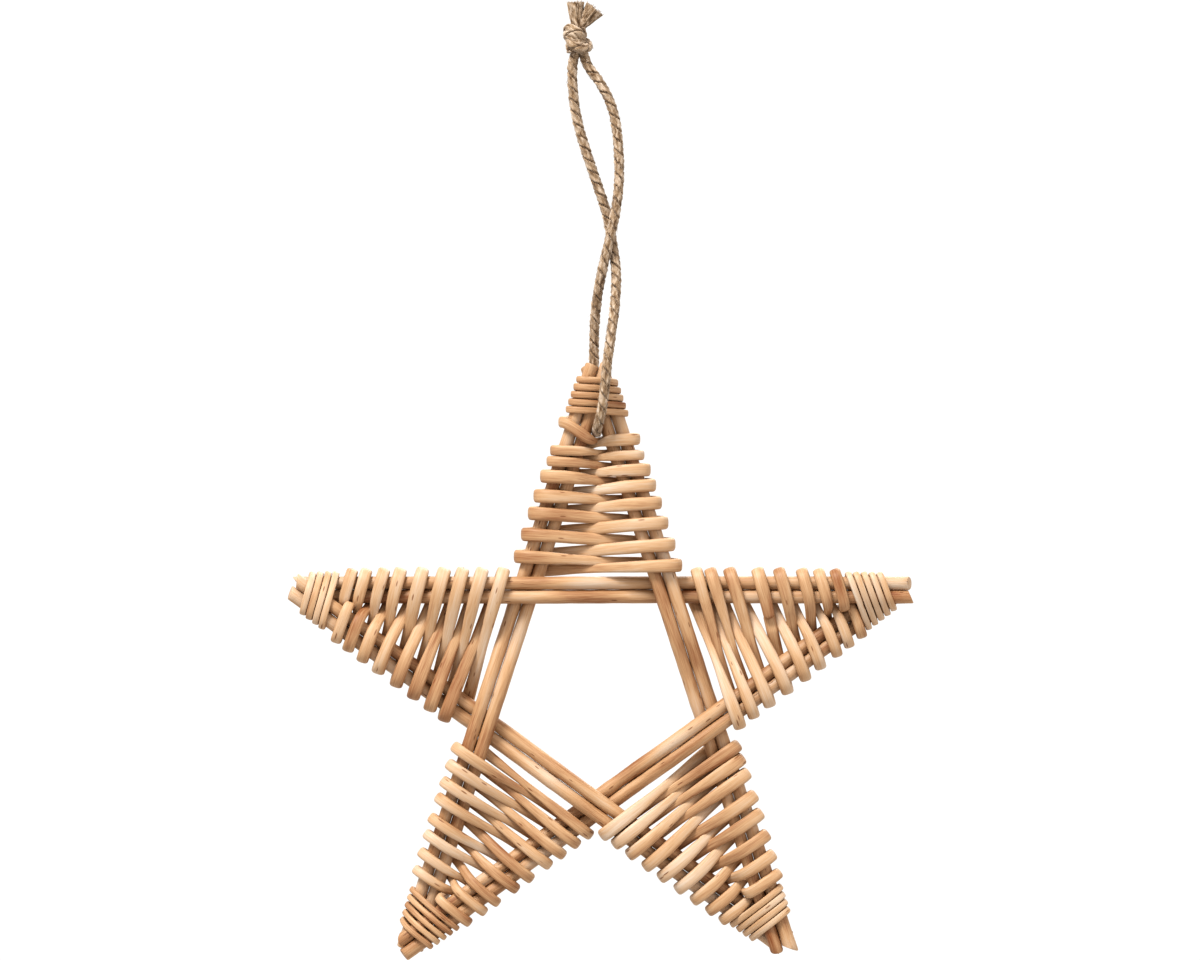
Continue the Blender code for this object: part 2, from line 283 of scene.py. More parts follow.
def ply(line, across, size, phase, pitch, seed, sides=PLY_SIDES):
    """One ply of twine wound round a line, as a part for make_piece. size is one a point."""
    forward, first, second = carried_frame(line, across)
    run = np.concatenate([[0], np.cumsum(np.linalg.norm(np.diff(line, axis=0), axis=1))])
    turn = phase - math.tau * run / pitch
    outward = np.cos(turn)[:, None] * first + np.sin(turn)[:, None] * second
    beside = np.cross(forward, outward)
    off = size * (1 - PLY_THICKNESS) / 2
    angles = np.arange(sides) * math.tau / sides
    rough = np.random.default_rng(seed)
    waves = rough.uniform(BUMP_LEAST, BUMP_MOST, (BUMPS, 3))
    waves *= rough.choice([-1, 1], (BUMPS, 3))
    starts = rough.uniform(0, math.tau, BUMPS)
    out = np.cos(angles)[None, :] * (size * PLY_THICKNESS / 2)[:, None]
    wide = np.sin(angles)[None, :] * (size * PLY_WIDTH / 2)[:, None]
    rings = (
        line[:, None]
        + (off[:, None] + out)[:, :, None] * outward[:, None]
        + wide[:, :, None] * beside[:, None]
    )
    spin = rings - line[:, None]
    grain = np.stack(
        [
            (spin * first[:, None]).sum(axis=2),
            (spin * second[:, None]).sum(axis=2),
            np.repeat(run[:, None], sides, axis=1),
        ],
        axis=2,
    )
    bumps = np.sin(grain @ waves.T + starts).sum(axis=2) / BUMPS
    lift = 1 + BUMP_HEIGHT * bumps
    middle = line[:, None] + off[:, None, None] * outward[:, None]
    rings = middle + (rings - middle) * lift[:, :, None]
    # Painted shade on each ply: darker where it sinks and down between the two plies, paler on its
    # bumps and crest
    painted_crest_shade = np.cos(angles) - CREST_FROM
    shade = np.clip(BUMP_PAINTED_SHADE * bumps + CREST_PAINTED_SHADE * painted_crest_shade[None, :], -1, 1)
    corners, faces = tube_mesh(rings)
    grain = np.vstack([grain.reshape(-1, 3), grain[0].mean(axis=0), grain[-1].mean(axis=0)])
    shade = np.concatenate([shade.ravel(), [0, 0]])
    return corners, faces, grain, shade


def fibres(line, across, radius, count, seed, stand, thickness):
    """Loose fibres along a line, each a thin bent sliver that starts under the surface."""
    _, first, second = carried_frame(line, across)
    pick = random.Random(seed)
    parts = []
    spacing = np.linalg.norm(line[1] - line[0])
    for _ in range(count):
        at = pick.randrange(2, len(line) - 2)
        turn = pick.uniform(0, math.tau)
        length = pick.uniform(*FIBRE_LENGTHS)
        sense = pick.choice((-1, 1))
        rise = pick.uniform(LEAST_RISE, 1) ** 2 * stand
        sweep = pick.uniform(-FIBRE_SWEEP, FIBRE_SWEEP)
        spots = []
        for step in range(FIBRE_BENDS + 1):
            share = step / FIBRE_BENDS
            place = min(max(at + sense * share * length / spacing, 0), len(line) - 1)
            low = int(place)
            high = min(low + 1, len(line) - 1)
            middle = line[low] + (line[high] - line[low]) * (place - low)
            angle = turn + sweep * share
            away = math.cos(angle) * first[low] + math.sin(angle) * second[low]
            spots.append(middle + away * (radius * FIBRE_ROOT + rise * share**FIBRE_CURL))
        parts.append(sliver(np.array(spots), thickness, pick.uniform(-0.7, 1)))
    return parts


def sliver(spots, thickness, shade):
    """A fibre with three sides, thinner to its free end, as a part for make_piece."""
    _, first, second = carried_frame(spots, ASKEW)
    thin = thickness / 2 * np.linspace(1, FIBRE_TIP, len(spots))
    angles = np.arange(3) * math.tau / 3
    rings = spots[:, None] + thin[:, None, None] * (
        np.cos(angles)[None, :, None] * first[:, None]
        + np.sin(angles)[None, :, None] * second[:, None]
    )
    corners, faces = tube_mesh(rings)
    return corners, faces, np.array(corners), np.full(len(corners), shade)


def fibre_material(name, dark, middle, pale):
    """Spun fibre: fine streaks along the twist, dark between them, with no gloss."""
    material = bpy.data.materials.new(name)
    material.use_nodes = True
    nodes, links = material.node_tree.nodes, material.node_tree.links
    shader = nodes["Principled BSDF"]
    shader.inputs["Roughness"].default_value = 0.95
    shader.inputs["Specular IOR Level"].default_value = 0.15
    shader.inputs["Sheen Weight"].default_value = 0.25
    shader.inputs["Sheen Roughness"].default_value = 0.6
    grain = nodes.new("ShaderNodeAttribute")
    grain.attribute_name = "grain"
    shade = nodes.new("ShaderNodeAttribute")
    shade.attribute_name = "shade"
    stretch = nodes.new("ShaderNodeMapping")
    stretch.inputs["Scale"].default_value = (5200, 5200, 420)
    links.new(grain.outputs["Vector"], stretch.inputs["Vector"])
    streaks = nodes.new("ShaderNodeTexNoise")
    streaks.inputs["Scale"].default_value = 1
    streaks.inputs["Detail"].default_value = 4
    links.new(stretch.outputs["Vector"], streaks.inputs["Vector"])
    mix = nodes.new("ShaderNodeMath")
    mix.operation = "MULTIPLY_ADD"
    mix.inputs[1].default_value = 0.30
    links.new(shade.outputs["Fac"], mix.inputs[0])
    links.new(streaks.outputs["Fac"], mix.inputs[2])
    ramp = nodes.new("ShaderNodeValToRGB")
    ramp.color_ramp.elements[0].position = 0.22
    ramp.color_ramp.elements[0].color = (*dark, 1)
    ramp.color_ramp.elements[1].position = 0.82
    ramp.color_ramp.elements[1].color = (*pale, 1)
    ramp.color_ramp.elements.new(0.50).color = (*middle, 1)
    links.new(mix.outputs[0], ramp.inputs["Fac"])
    links.new(ramp.outputs["Color"], shader.inputs["Base Color"])
    bump = nodes.new("ShaderNodeBump")
    bump.inputs["Strength"].default_value = 0.8
    bump.inputs["Distance"].default_value = 0.00018
    links.new(streaks.outputs["Fac"], bump.inputs["Height"])
    links.new(bump.outputs["Normal"], shader.inputs["Normal"])
    return material


jute = fibre_material(
    "hairy jute twine",
    dark=(0.085, 0.042, 0.016),
    middle=(0.280, 0.192, 0.116),
    pale=(0.51, 0.41, 0.32),
)
twine_line = along_curve(TWINE_ROUTE, TWINE_STEP)
twine_size = np.full(len(twine_line), TWINE_DIAMETER)
twine = make_piece(
    "hanging_twine",
    [
        ply(twine_line, BACKWARD, twine_size, 0, TWIST_PITCH, seed=11),
        ply(twine_line, BACKWARD, twine_size, math.pi, TWIST_PITCH, seed=12),
        *fibres(
            twine_line, BACKWARD, radius=TWINE_DIAMETER / 2,
            count=1700, seed=13, stand=0.0015, thickness=LOOSE_FIBRE,
        ),
        *fibres(
            twine_line, BACKWARD, radius=TWINE_DIAMETER * 0.47,
            count=1900, seed=14, stand=0.0002, thickness=LAID_FIBRE,
        ),
    ],
    jute,
)
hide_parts("twine_loop")

# Knot and cut ends
# The twine's two ends lie side by side, are tied together in one overhand knot and drawn
# tight, then cut off above it, where the plies have come open and fanned out.
KNOT_CENTRE = Vector((-0.0016, 0.0, 0.0080))
KNOT_WIDTH = 0.0112
KNOT_HEIGHT = 0.0126
KNOT_NECK = 0.0010  # how far the cut ends leave the knot to one side of its middle
KNOT_STRAND = 0.0033  # the two ends together, pressed by the knot
KNOT_REACH = 0.0115  # from the knot's middle to the two places that the line is drawn to
KNOT_NODES = 72
KNOT_ROUNDS = 215
KNOT_TURN = math.radians(-85)
KNOT_START = 2.02  # how far the loose knot's formula runs each way from its middle
KNOT_LOOSE = 0.9
KNOT_SHORTEN = 0.9965  # what is left of the line's steps after each round of drawing
KNOT_PULL = 0.04
KNOT_HOLD = 0.45
KNOT_STIFF = 0.12  # how much of each kink a round takes out
KNOT_PRESSES = 4
KNOT_APART = 1.5  # runs nearer than this along the line, in strands, aren't pressed apart
KNOT_TIED = (0.15, 0.85)  # the stretch of the line that is the ball, as shares of it
KNOT_HEART = 0.7  # points nearer the middle than this, in strands, stay where they are
KNOT_ROUNDED = 0.55  # how far the outer runs are drawn to the ball's own shape
KNOT_TWINE = TWINE_DIAMETER * 0.94  # thinner and closer twisted, as it is drawn tight
KNOT_TWIST = 0.0085
KNOT_STEP = 0.0004
KNOT_PLY_SIDES = 12
STRAND_ASIDE = 0.0011  # each of the two ends from the line that they share
NECK_ASIDE = 0.0010
CUT_ASIDE = 0.0004  # from the neck to where the cut ends come open
CUT_RISE = 0.0030
CORE_POINTS = 24  # the core fills the middle of the ball, so that no gap shows
CORE_LENGTH = KNOT_HEIGHT * 0.8
CORE_WIDTH = KNOT_HEIGHT * 0.62
CORE_TWIST = 0.02
FRAY_POINTS = 18
FRAY_SIDES = 44
FRAY_RIDGES = (7, 11, 16)  # ridges round a cut end, laid over each other
RIDGE_AT_FOOT = 0.02  # their height, as a share of the radius
RIDGE_MORE = 0.03
FRAY_WAVES = 5
FRAY_UNEVEN = 0.02
FRAY_FLARE = 1.3  # 1 would be a straight cone
FRAY_RAGGED = (-0.0006, 0.0003)  # how unevenly its end is cut
FRAY_FIBRES = 520
FRAY_STRAY = 0.00016
FRAY_FIBRE = LAID_FIBRE * 1.3


def tight_knot(thick, reach, nodes, rounds):
    """An overhand knot in one line, drawn tight round itself until its runs press together."""
    t = np.linspace(-KNOT_START, KNOT_START, nodes)
    loose = np.stack([t**3 - 3 * t, (t**5 - 10 * t) / 4, t**4 - 4 * t**2], axis=1)
    line = KNOT_LOOSE * thick * loose
    up = unit(line[-1] - line[0])
    line -= (line[-1] + line[0]) / 2
    side = unit(np.cross([0, 1, 0.2], up))
    line = line @ np.stack([side, np.cross(up, side), up], axis=1)
    ends = np.array([[0, 0, -reach], [0, 0, reach]])
    step = np.linalg.norm(np.diff(line, axis=0), axis=1).mean()
    apart = np.abs(np.arange(nodes)[:, None] - np.arange(nodes))
    for _ in range(rounds):
        step *= KNOT_SHORTEN
        line[[0, -1]] += (ends - line[[0, -1]]) * KNOT_PULL
        for _ in range(KNOT_PRESSES):
            gap = line[:, None] - line
            away = np.linalg.norm(gap, axis=2) + 1e-9
            touching = (apart * step > KNOT_APART * thick) & (away < thick)
            press = np.where(touching, (thick - away) / away / 2, 0)
            push = (gap * press[:, :, None]).sum(axis=1)
            push /= np.maximum(touching.sum(axis=1), 1)[:, None]
            span = np.diff(line, axis=0)
            stretched = 1 - step / np.linalg.norm(span, axis=1, keepdims=True)
            fix = span * stretched * KNOT_HOLD
            line[1:-1] += push[1:-1] + fix[1:] - fix[:-1]
        line[1:-1] += KNOT_STIFF * (line[:-2] + line[2:] - 2 * line[1:-1])
    return line


def frayed_end(foot, way, narrow, wide, length, seed):
    """A cut end that has come open: a core of ridges, and single fibres standing out of it."""
    pick = np.random.default_rng(seed)
    share = np.linspace(0, 1, FRAY_POINTS)
    spots = np.array(foot) + share[:, None] * np.array(way) * length
    _, first, second = carried_frame(spots, BACKWARD)
    angles = np.arange(FRAY_SIDES) * math.tau / FRAY_SIDES
    ridge = sum(np.sin(count * angles + pick.uniform(0, math.tau)) for count in FRAY_RIDGES)
    radius = (narrow + (wide - narrow) * share**FRAY_FLARE) / 2
    uneven = sum(
        np.sin(pick.integers(2, 7) * angles[None, :] + pick.uniform(5, 25) * share[:, None])
        for _ in range(FRAY_WAVES)
    )
    ridged = (RIDGE_AT_FOOT + RIDGE_MORE * share)[:, None] * ridge[None, :]
    swell = radius[:, None] * (1 + ridged + FRAY_UNEVEN * uneven)
    rings = spots[:, None] + swell[:, :, None] * (
        np.cos(angles)[None, :, None] * first[:, None]
        + np.sin(angles)[None, :, None] * second[:, None]
    )
    ragged = pick.uniform(*FRAY_RAGGED, FRAY_SIDES)
    rings[-1] += ragged[:, None] * np.array(way)
    rings[-2] += 0.6 * ragged[:, None] * np.array(way)
    corners, faces = tube_mesh(rings)
    grain = np.stack(
        [
            np.cos(angles)[None, :] * radius[:, None],
            np.sin(angles)[None, :] * radius[:, None],
            np.repeat((share * length)[:, None], FRAY_SIDES, axis=1),
        ],
        axis=2,
    ).reshape(-1, 3)
    grain = np.vstack([grain, [0, 0, 0], [0, 0, length]])
    # Painted shade: the core is paler where its ridges and waves stand out and darker down between
    # them. Its two end faces are given the darkest tone.
    shade = (0.15 * ridge[None, :] + 0.2 * uneven).ravel()
    parts = [(corners, faces, grain, np.concatenate([shade, [-1, -1]]))]
    for _ in range(FRAY_FIBRES):
        angle = pick.uniform(0, math.tau)
        out = math.sqrt(pick.uniform(0.3, 1))
        away = math.cos(angle) * first[0] + math.sin(angle) * second[0]
        begin = pick.uniform(0, 0.8)
        finish = min(begin + pick.uniform(0.2, 0.6), pick.uniform(0.92, 1.1))
        stretch = []
        spread = out * pick.uniform(0.95, 1.08)
        for step in range(4):
            at = begin + (finish - begin) * step / 3
            far = spread * (narrow + (wide - narrow) * at**FRAY_FLARE) / 2
            stray = pick.uniform(-FRAY_STRAY, FRAY_STRAY, 3)
            stretch.append(np.array(foot) + np.array(way) * length * at + away * far + stray)
        parts.append(sliver(np.array(stretch), FRAY_FIBRE, pick.uniform(-1, 1)))
    return parts


knot_line = tight_knot(KNOT_STRAND, KNOT_REACH, KNOT_NODES, KNOT_ROUNDS)
knot_line = knot_line @ np.array(Matrix.Rotation(KNOT_TURN, 3, "Z")).T
in_ball = np.abs(knot_line[:, 2]) < KNOT_HEIGHT / 2
knot_line[:, :2] -= knot_line[in_ball, :2].mean(axis=0)
share = np.linspace(0, 1, KNOT_NODES)
ball = knot_line[(share > KNOT_TIED[0]) & (share < KNOT_TIED[1])]
_, ball_side, _ = carried_frame(ball, (1, 0, 0))
shell = unit(ball) * (KNOT_WIDTH - KNOT_STRAND, KNOT_WIDTH - KNOT_STRAND, KNOT_HEIGHT - KNOT_STRAND)
outer = np.linalg.norm(ball, axis=1, keepdims=True) > KNOT_STRAND * KNOT_HEART
ball = np.where(outer, (1 - KNOT_ROUNDED) * ball + KNOT_ROUNDED * shell / 2, ball)
core = np.linspace((0, 0, -CORE_LENGTH / 2), (0, 0, CORE_LENGTH / 2), CORE_POINTS)
core += np.array(KNOT_CENTRE)
core_size = np.full(CORE_POINTS, CORE_WIDTH)
knot_parts = [
    ply(core, (1, 0, 0), core_size, phase, CORE_TWIST, seed=44) for phase in (0, math.pi)
]
for way, end, inside in (
    (-1, TWINE_ROUTE[0], TWINE_ROUTE[1]),
    (1, TWINE_ROUTE[-1], TWINE_ROUTE[-2]),
):
    laid = ball + STRAND_ASIDE * way * ball_side + np.array(KNOT_CENTRE)
    low = (np.array(end) + np.array(inside)) / 2
    neck = KNOT_CENTRE + Vector((KNOT_NECK + NECK_ASIDE * way, 0, KNOT_HEIGHT / 2))
    cut_end = neck + Vector((CUT_ASIDE * way, 0, CUT_RISE))
    strand = along_curve([low, end, *laid[::3], neck, cut_end], KNOT_STEP)
    size = np.full(len(strand), KNOT_TWINE)
    for phase in (0, math.pi):
        knot_parts.append(
            ply(strand, BACKWARD, size, phase, KNOT_TWIST, seed=21 + way, sides=KNOT_PLY_SIDES)
        )
    knot_parts += fibres(
        strand, BACKWARD, radius=TWINE_DIAMETER * 0.46,
        count=520, seed=31 + way, stand=0.0012, thickness=LOOSE_FIBRE,
    )
    knot_parts += fibres(
        strand, BACKWARD, radius=TWINE_DIAMETER * 0.44,
        count=420, seed=35 + way, stand=0.0003, thickness=LAID_FIBRE,
    )
knot_neck = KNOT_CENTRE + Vector((KNOT_NECK, 0, KNOT_HEIGHT * 0.40))
knot_parts += frayed_end(
    foot=knot_neck + Vector((-0.0007, 0, 0)), way=(-0.06, 0, 1),
    narrow=0.0046, wide=0.0066, length=0.0100, seed=41,
)
knot_parts += frayed_end(
    foot=knot_neck + Vector((0.0004, 0.0004, 0)), way=(0.62, 0, 0.78),
    narrow=0.0038, wide=0.0080, length=0.0098, seed=42,
)
knot = make_piece("twine_knot_tied", knot_parts, jute)
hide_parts("twine_knot")

# Frame rods
# Ten straight peeled willow rods, two side by side in each of the star's five lines. They
# cross over and under in turn, are cut off at a slant, and stay put by their own spring.
LINE_LENGTH = 0.2393  # one line of the star, from tip crossing to tip crossing
ROD_DIAMETER = 0.0051
PAIR_GAP = 0.0006  # between the two rods of a line, in the solids
CROSSING_GAP = 0.0005  # between the layers where two lines cross
FRONT_END = 0.0062  # how far the rods run past the tip crossing where they lie in front
BACK_END = 0.0030  # the same where they lie behind
END_SPREAD = 0.0016  # how unevenly the rods are cut
ROD_TAPER = 0.06  # share of its thickness that a rod loses from butt to tip
TWINE_DROP = 0.12605  # from the nail down to the top tip crossing
TWINE_ASIDE = 0.0066  # from the nail sideways to the star's middle
HALF_TIP = math.radians(18)
NOTCH = math.radians(36)
STEEP = math.radians(72)
LINE_HALF = LINE_LENGTH / 2
LINE_FROM_CENTRE = LINE_HALF / math.tan(STEEP)
INNER_CROSSING = LINE_FROM_CENTRE * math.tan(NOTCH)
TIP_FROM_CENTRE = LINE_HALF / math.sin(STEEP)
ARM_LENGTH = (LINE_HALF - INNER_CROSSING) * math.cos(HALF_TIP)
STAR_CENTRE = Vector((TWINE_ASIDE, 0, -TWINE_DROP - TIP_FROM_CENTRE))
ROD_RADIUS = ROD_DIAMETER / 2
ROD_PITCH = ROD_DIAMETER + PAIR_GAP
PAIR_HALF = (ROD_PITCH + ROD_DIAMETER) / 2
LAYER = (ROD_DIAMETER + CROSSING_GAP) / 2
ROD_SIDES = 24
ROD_FULLER = 1.09  # how much thicker the rods are here than in the solids
ROD_NEARER = 0.00025  # so that the two rods of a line touch in places
ROD_STEP = 0.0012
ROD_OVAL = 0.02
ROD_WAVES = ((0.012, 310), (0.008, 730))  # share of the radius, and radians a metre
SCARS = 4
SCAR_SWELL = 0.035  # how much thicker a rod is where a twig grew
SCAR_LENGTH = 0.0022
SLANTS = (0.15, 0.75)  # a cut's slope, from nearly square to steep
SLANT_RINGS = 5  # the slope fades out over so many rings of the rod's mesh
CUT_FACE = 0.90  # a cut face is this share of the rod's width, as its edge is worn
CUT_EDGE = 0.75  # the ring before a cut is drawn this share of the way to it
CUT_SHORTER = {1: 0.0016, 3: 0.0024, 4: 0.0022}  # some lines' front ends, counted from 0
DRIFTS = (0.034, 0.06, 0.11)  # lengths over which the tone comes and goes
DRIFT_MOST = 2.2
FINE_GRAIN = (3600, 3600, 130)  # marks a metre: twice across the wood, and along it
TONE_PATCHES = (260, 260, 24)
SCAR_CELLS = (520, 520, 105)


def layer_depth(u):
    """Depth of a line's rods at u from its middle: behind at +, in front at -, in turn."""
    along = abs(u)
    crossing_end = INNER_CROSSING + PAIR_HALF / math.tan(NOTCH)
    tip_start = LINE_HALF - PAIR_HALF / math.tan(HALF_TIP)
    if along < INNER_CROSSING:
        swing = math.sin(math.pi / 2 * along / INNER_CROSSING)
        lift = (3 * swing - swing**3) / 2
    elif along < crossing_end:
        lift = 1
    elif along < tip_start:
        share = (along - crossing_end) / (tip_start - crossing_end)
        lift = 1 - 2 * share * share * (3 - 2 * share)
    else:
        lift = -1
    return LAYER * (lift if u > 0 else -lift)


def willow_material(name, dark, middle, pale, scar):
    """Peeled willow: long fine grain, patches of tone, small dark scars, a faint wax shine."""
    material = bpy.data.materials.new(name)
    material.use_nodes = True
    nodes, links = material.node_tree.nodes, material.node_tree.links
    shader = nodes["Principled BSDF"]
    shader.inputs["Specular IOR Level"].default_value = 0.35
    grain = nodes.new("ShaderNodeAttribute")
    grain.attribute_name = "grain"
    shade = nodes.new("ShaderNodeAttribute")
    shade.attribute_name = "shade"

    def noise(scale, detail):
        stretch = nodes.new("ShaderNodeMapping")
        stretch.inputs["Scale"].default_value = scale
        links.new(grain.outputs["Vector"], stretch.inputs["Vector"])
        texture = nodes.new("ShaderNodeTexNoise")
        texture.inputs["Scale"].default_value = 1
        texture.inputs["Detail"].default_value = detail
        links.new(stretch.outputs["Vector"], texture.inputs["Vector"])
        return texture.outputs["Fac"]

    def combined(operation, a, b, c=0.0):
        node = nodes.new("ShaderNodeMath")
        node.operation = operation
        for socket, value in zip(node.inputs, (a, b, c)):
            if isinstance(value, float):
                socket.default_value = value
            else:
                links.new(value, socket)
        return node.outputs[0]

    fine = noise(FINE_GRAIN, 3)
    patches = noise(TONE_PATCHES, 2)
    tone = combined("MULTIPLY_ADD", patches, 0.6, -0.30)
    tone = combined("ADD", tone, combined("MULTIPLY_ADD", fine, 0.46, 0.27))
    tone = combined("MULTIPLY_ADD", shade.outputs["Fac"], 0.17, tone)
    ramp = nodes.new("ShaderNodeValToRGB")
    ramp.color_ramp.elements[0].position = 0.18
    ramp.color_ramp.elements[0].color = (*dark, 1)
    ramp.color_ramp.elements[1].position = 0.84
    ramp.color_ramp.elements[1].color = (*pale, 1)
    ramp.color_ramp.elements.new(0.50).color = (*middle, 1)
    links.new(tone, ramp.inputs["Fac"])
    cells = nodes.new("ShaderNodeTexVoronoi")
    cells.inputs["Scale"].default_value = 1
    spread = nodes.new("ShaderNodeMapping")
    spread.inputs["Scale"].default_value = SCAR_CELLS
    links.new(grain.outputs["Vector"], spread.inputs["Vector"])
    links.new(spread.outputs["Vector"], cells.inputs["Vector"])
    near = nodes.new("ShaderNodeMapRange")
    near.inputs["From Min"].default_value = 0.10
    near.inputs["From Max"].default_value = 0.16
    near.inputs["To Min"].default_value = 1
    near.inputs["To Max"].default_value = 0
    links.new(cells.outputs["Distance"], near.inputs["Value"])
    rare = nodes.new("ShaderNodeSeparateColor")
    links.new(cells.outputs["Color"], rare.inputs["Color"])
    some = combined("GREATER_THAN", rare.outputs["Red"], 0.45)
    marks = combined("MULTIPLY", near.outputs["Result"], some)
    spots = nodes.new("ShaderNodeMix")
    spots.data_type = "RGBA"
    spots.inputs["B"].default_value = (*scar, 1)
    links.new(combined("MULTIPLY", marks, 0.8), spots.inputs["Factor"])
    links.new(ramp.outputs["Color"], spots.inputs["A"])
    links.new(spots.outputs["Result"], shader.inputs["Base Color"])
    links.new(combined("MULTIPLY_ADD", fine, 0.22, 0.40), shader.inputs["Roughness"])
    height = combined("SUBTRACT", fine, marks)
    bump = nodes.new("ShaderNodeBump")
    bump.inputs["Strength"].default_value = 0.6
    bump.inputs["Distance"].default_value = 0.00014
    links.new(height, bump.inputs["Height"])
    links.new(bump.outputs["Normal"], shader.inputs["Normal"])
    return material


def drift(run, seed, spread=1.0):
    """A slow change along a rod or a weaver, from -1 to 1."""
    pick = np.random.default_rng(seed)
    total = np.zeros(len(run))
    for length in DRIFTS:
        wave = math.tau * run / (length * pick.uniform(0.8, 1.25))
        total += np.sin(wave + pick.uniform(0, math.tau))
    return np.clip(total / DRIFT_MOST * spread, -1, 1)


def capped(values, sides):
    """One value a ring spread over its corners, then the two for the caps."""
    return np.concatenate([np.repeat(values, sides), [values[0], values[-1]]])


def rod_mesh(start, end, height, side, seed):
    """A rod that follows its line over and under the others, with slanting cut ends."""
    pick = np.random.default_rng(seed)
    run = np.arange(start, end, ROD_STEP)
    run[-1] = end
    line = np.array([(u, layer_depth(u), height) for u in run])
    radius = ROD_FULLER * ROD_RADIUS * (1 - ROD_TAPER * (0.5 - side * run / LINE_LENGTH))
    for _ in range(SCARS):
        scar_at = pick.uniform(start, end)
        radius *= 1 + SCAR_SWELL * np.exp(-(((run - scar_at) / SCAR_LENGTH) ** 2))
    (slow, slow_wave), (quick, quick_wave) = ROD_WAVES
    swell = slow * np.sin(run * slow_wave + pick.uniform(0, 6))
    radius *= 1 + swell + quick * np.sin(run * quick_wave)
    angles = np.arange(ROD_SIDES) * math.tau / ROD_SIDES
    oval = 1 + ROD_OVAL * np.cos(2 * angles + pick.uniform(0, math.tau))
    turned_y = np.cos(angles) * oval
    turned_z = np.sin(angles) * oval
    rings = np.repeat(line[:, None], ROD_SIDES, axis=1)
    rings[:, :, 1] += radius[:, None] * turned_y[None, :]
    rings[:, :, 2] += radius[:, None] * turned_z[None, :]
    for ring, sense in ((0, 1), (-1, -1)):
        slant = pick.uniform(*SLANTS)
        lean = pick.uniform(0, math.tau)
        cut = (1 + np.cos(angles - lean)) * ROD_RADIUS * slant
        for back in range(SLANT_RINGS):
            at = ring + sense * back
            rings[at, :, 0] += sense * cut * (1 - back / SLANT_RINGS)
        rings[ring, :, 1:] = line[ring, 1:] + (rings[ring, :, 1:] - line[ring, 1:]) * CUT_FACE
        step = rings[ring, :, 0] - rings[ring + sense, :, 0]
        rings[ring + sense, :, 0] += step * CUT_EDGE
    corners, faces = tube_mesh(rings)
    grain = np.stack(
        [
            radius[:, None] * turned_y[None, :],
            radius[:, None] * turned_z[None, :],
            np.repeat(run[:, None], ROD_SIDES, axis=1),
        ],
        axis=2,
    ).reshape(-1, 3)
    grain = np.vstack([grain, [0, 0, start], [0, 0, end]]) + pick.uniform(0, 9, 3)
    shade = capped(drift(run, seed, 0.7) + pick.uniform(-0.35, 0.35), ROD_SIDES)
    return corners, faces, grain, shade


rod_willow = willow_material(
    "peeled willow rod",
    dark=(0.19, 0.064, 0.018),
    middle=(0.445, 0.276, 0.153),
    pale=(0.525, 0.418, 0.325),
    scar=(0.16, 0.065, 0.025),
)
cut = random.Random(5)
for line in range(5):
    for side, place in ((1, "outer"), (-1, "inner")):
        start = -LINE_HALF - BACK_END + cut.uniform(-1, 1) * END_SPREAD
        end = LINE_HALF + FRONT_END + cut.uniform(-1, 1) * END_SPREAD - CUT_SHORTER.get(line, 0)
        height = LINE_FROM_CENTRE + side * (ROD_PITCH - ROD_NEARER) / 2
        rod = make_piece(
            f"willow_rod_{line + 1}_{place}",
            [rod_mesh(start, end, height, side, seed=50 + 2 * line + (side > 0))],
            rod_willow,
        )
        turn = Matrix.Translation(STAR_CENTRE) @ Matrix.Rotation(math.tau / 5 * line, 4, "Y")
        rod.data.transform(turn)
        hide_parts(f"rod_{line + 1}_{place}")

# Weavers
# In each arm one long willow shoot, peeled and flattened, is wound tight round the crossed
# tips, then laced in figure eights: round one pair, through the middle, round the other.
WEAVER_WIDTH = 0.0051
WEAVER_THICKNESS = 0.0030
WEAVER_GAP = 0.0004  # from a rod's surface to the weaver round it
STRAND_GAP = 0.0004  # between two runs of one weaver
ROOM_SHARE = 1.15  # of the room between two runs: where they cross, they press together
WRAP_WIDTH = 0.0026  # the weaver's thin end, wound round the tips
SLIM_SHARE = 0.74  # width of the first figure eights, as a share of the full width
FULL_WIDTH_AT = 0.045  # from the tip crossing to where the weaver has its full width
LAST_STEP = 0.0026  # how far the last run goes down the arm as it crosses over
NEAR_SHARE = 0.15  # where a run leaves the front of its own pair, as a share of its step
FAR_SHARE = 0.85  # where it goes behind the other pair
TWINE_GAP = 0.0004
TWINE_HOLE = 0.0236  # from the top tip crossing to where the twine goes through the arm
TWINE_ROOM = 0.0010  # half a run's width where it passes under the twine
WRAP_SHARE = WRAP_WIDTH / WEAVER_WIDTH
WRAP_PITCH = WRAP_WIDTH + STRAND_GAP
# Each arm: its angle clockwise from the top, the side of its first loop (-1 is
# anticlockwise), its tip wraps, and the place of the first wrap
ARMS = {
    "top": (0, -1, 5, 0.0024),
    "right": (72, 1, 5, 0.0022),
    "lower_right": (144, 1, 4, 0.0070),
    "lower_left": (216, -1, 5, 0.0026),
    "left": (288, 1, 4, 0.0030),
}
